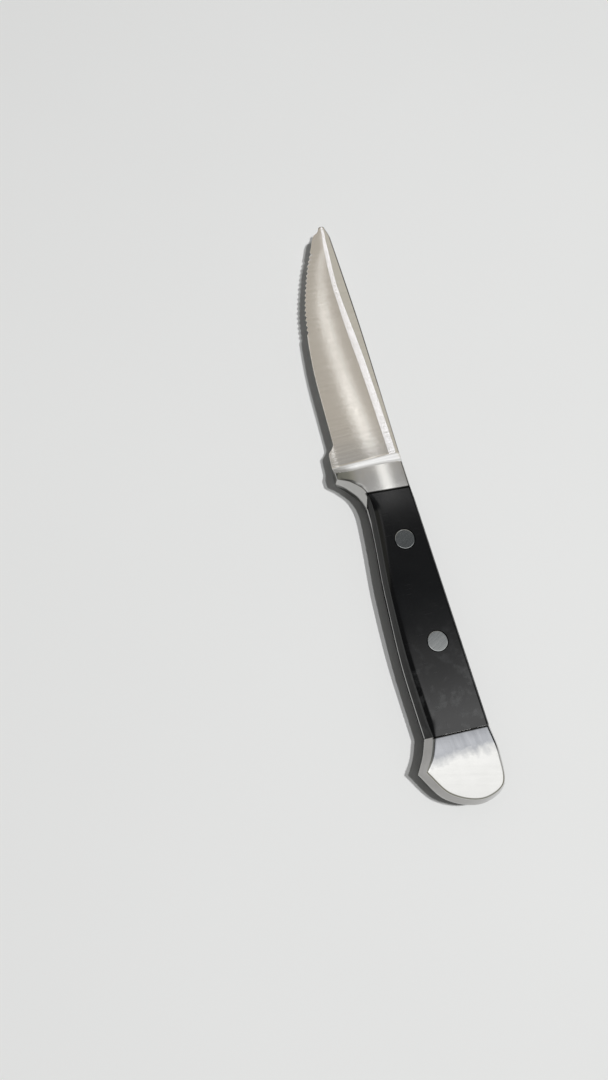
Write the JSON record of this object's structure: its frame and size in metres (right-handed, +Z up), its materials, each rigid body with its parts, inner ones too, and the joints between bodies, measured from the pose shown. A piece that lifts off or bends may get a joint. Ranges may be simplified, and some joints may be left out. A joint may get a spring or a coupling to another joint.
{
  "type": "steak knife",
  "caption": "Full-tang steak knife with a pointed serrated blade, forged bolster and guard, black riveted handle scales and a steel end cap.",
  "frame": {"origin": "middle of the bounding box's bottom face, on the surface the knife lies on", "axes": "+Y along the knife towards the blade's tip, +X towards the spine, +Z up through the flat of the blade"},
  "size_m": [0.0334, 0.2554, 0.0155],
  "materials": {
    "blade_steel": "satin to half polished",
    "cap_steel": "polished, lightly brushed",
    "rivet_steel": "brushed",
    "black_plastic": "half matt"
  },
  "bodies": {
    "root": {"blade_and_tang": "blade_steel", "end_cap": "cap_steel", "upper_scale": "black_plastic", "lower_scale": "black_plastic", "front_rivet_sleeve": "rivet_steel", "front_rivet_pin": "rivet_steel", "rear_rivet_sleeve": "rivet_steel", "rear_rivet_pin": "rivet_steel"}
  },
  "joints": []
}
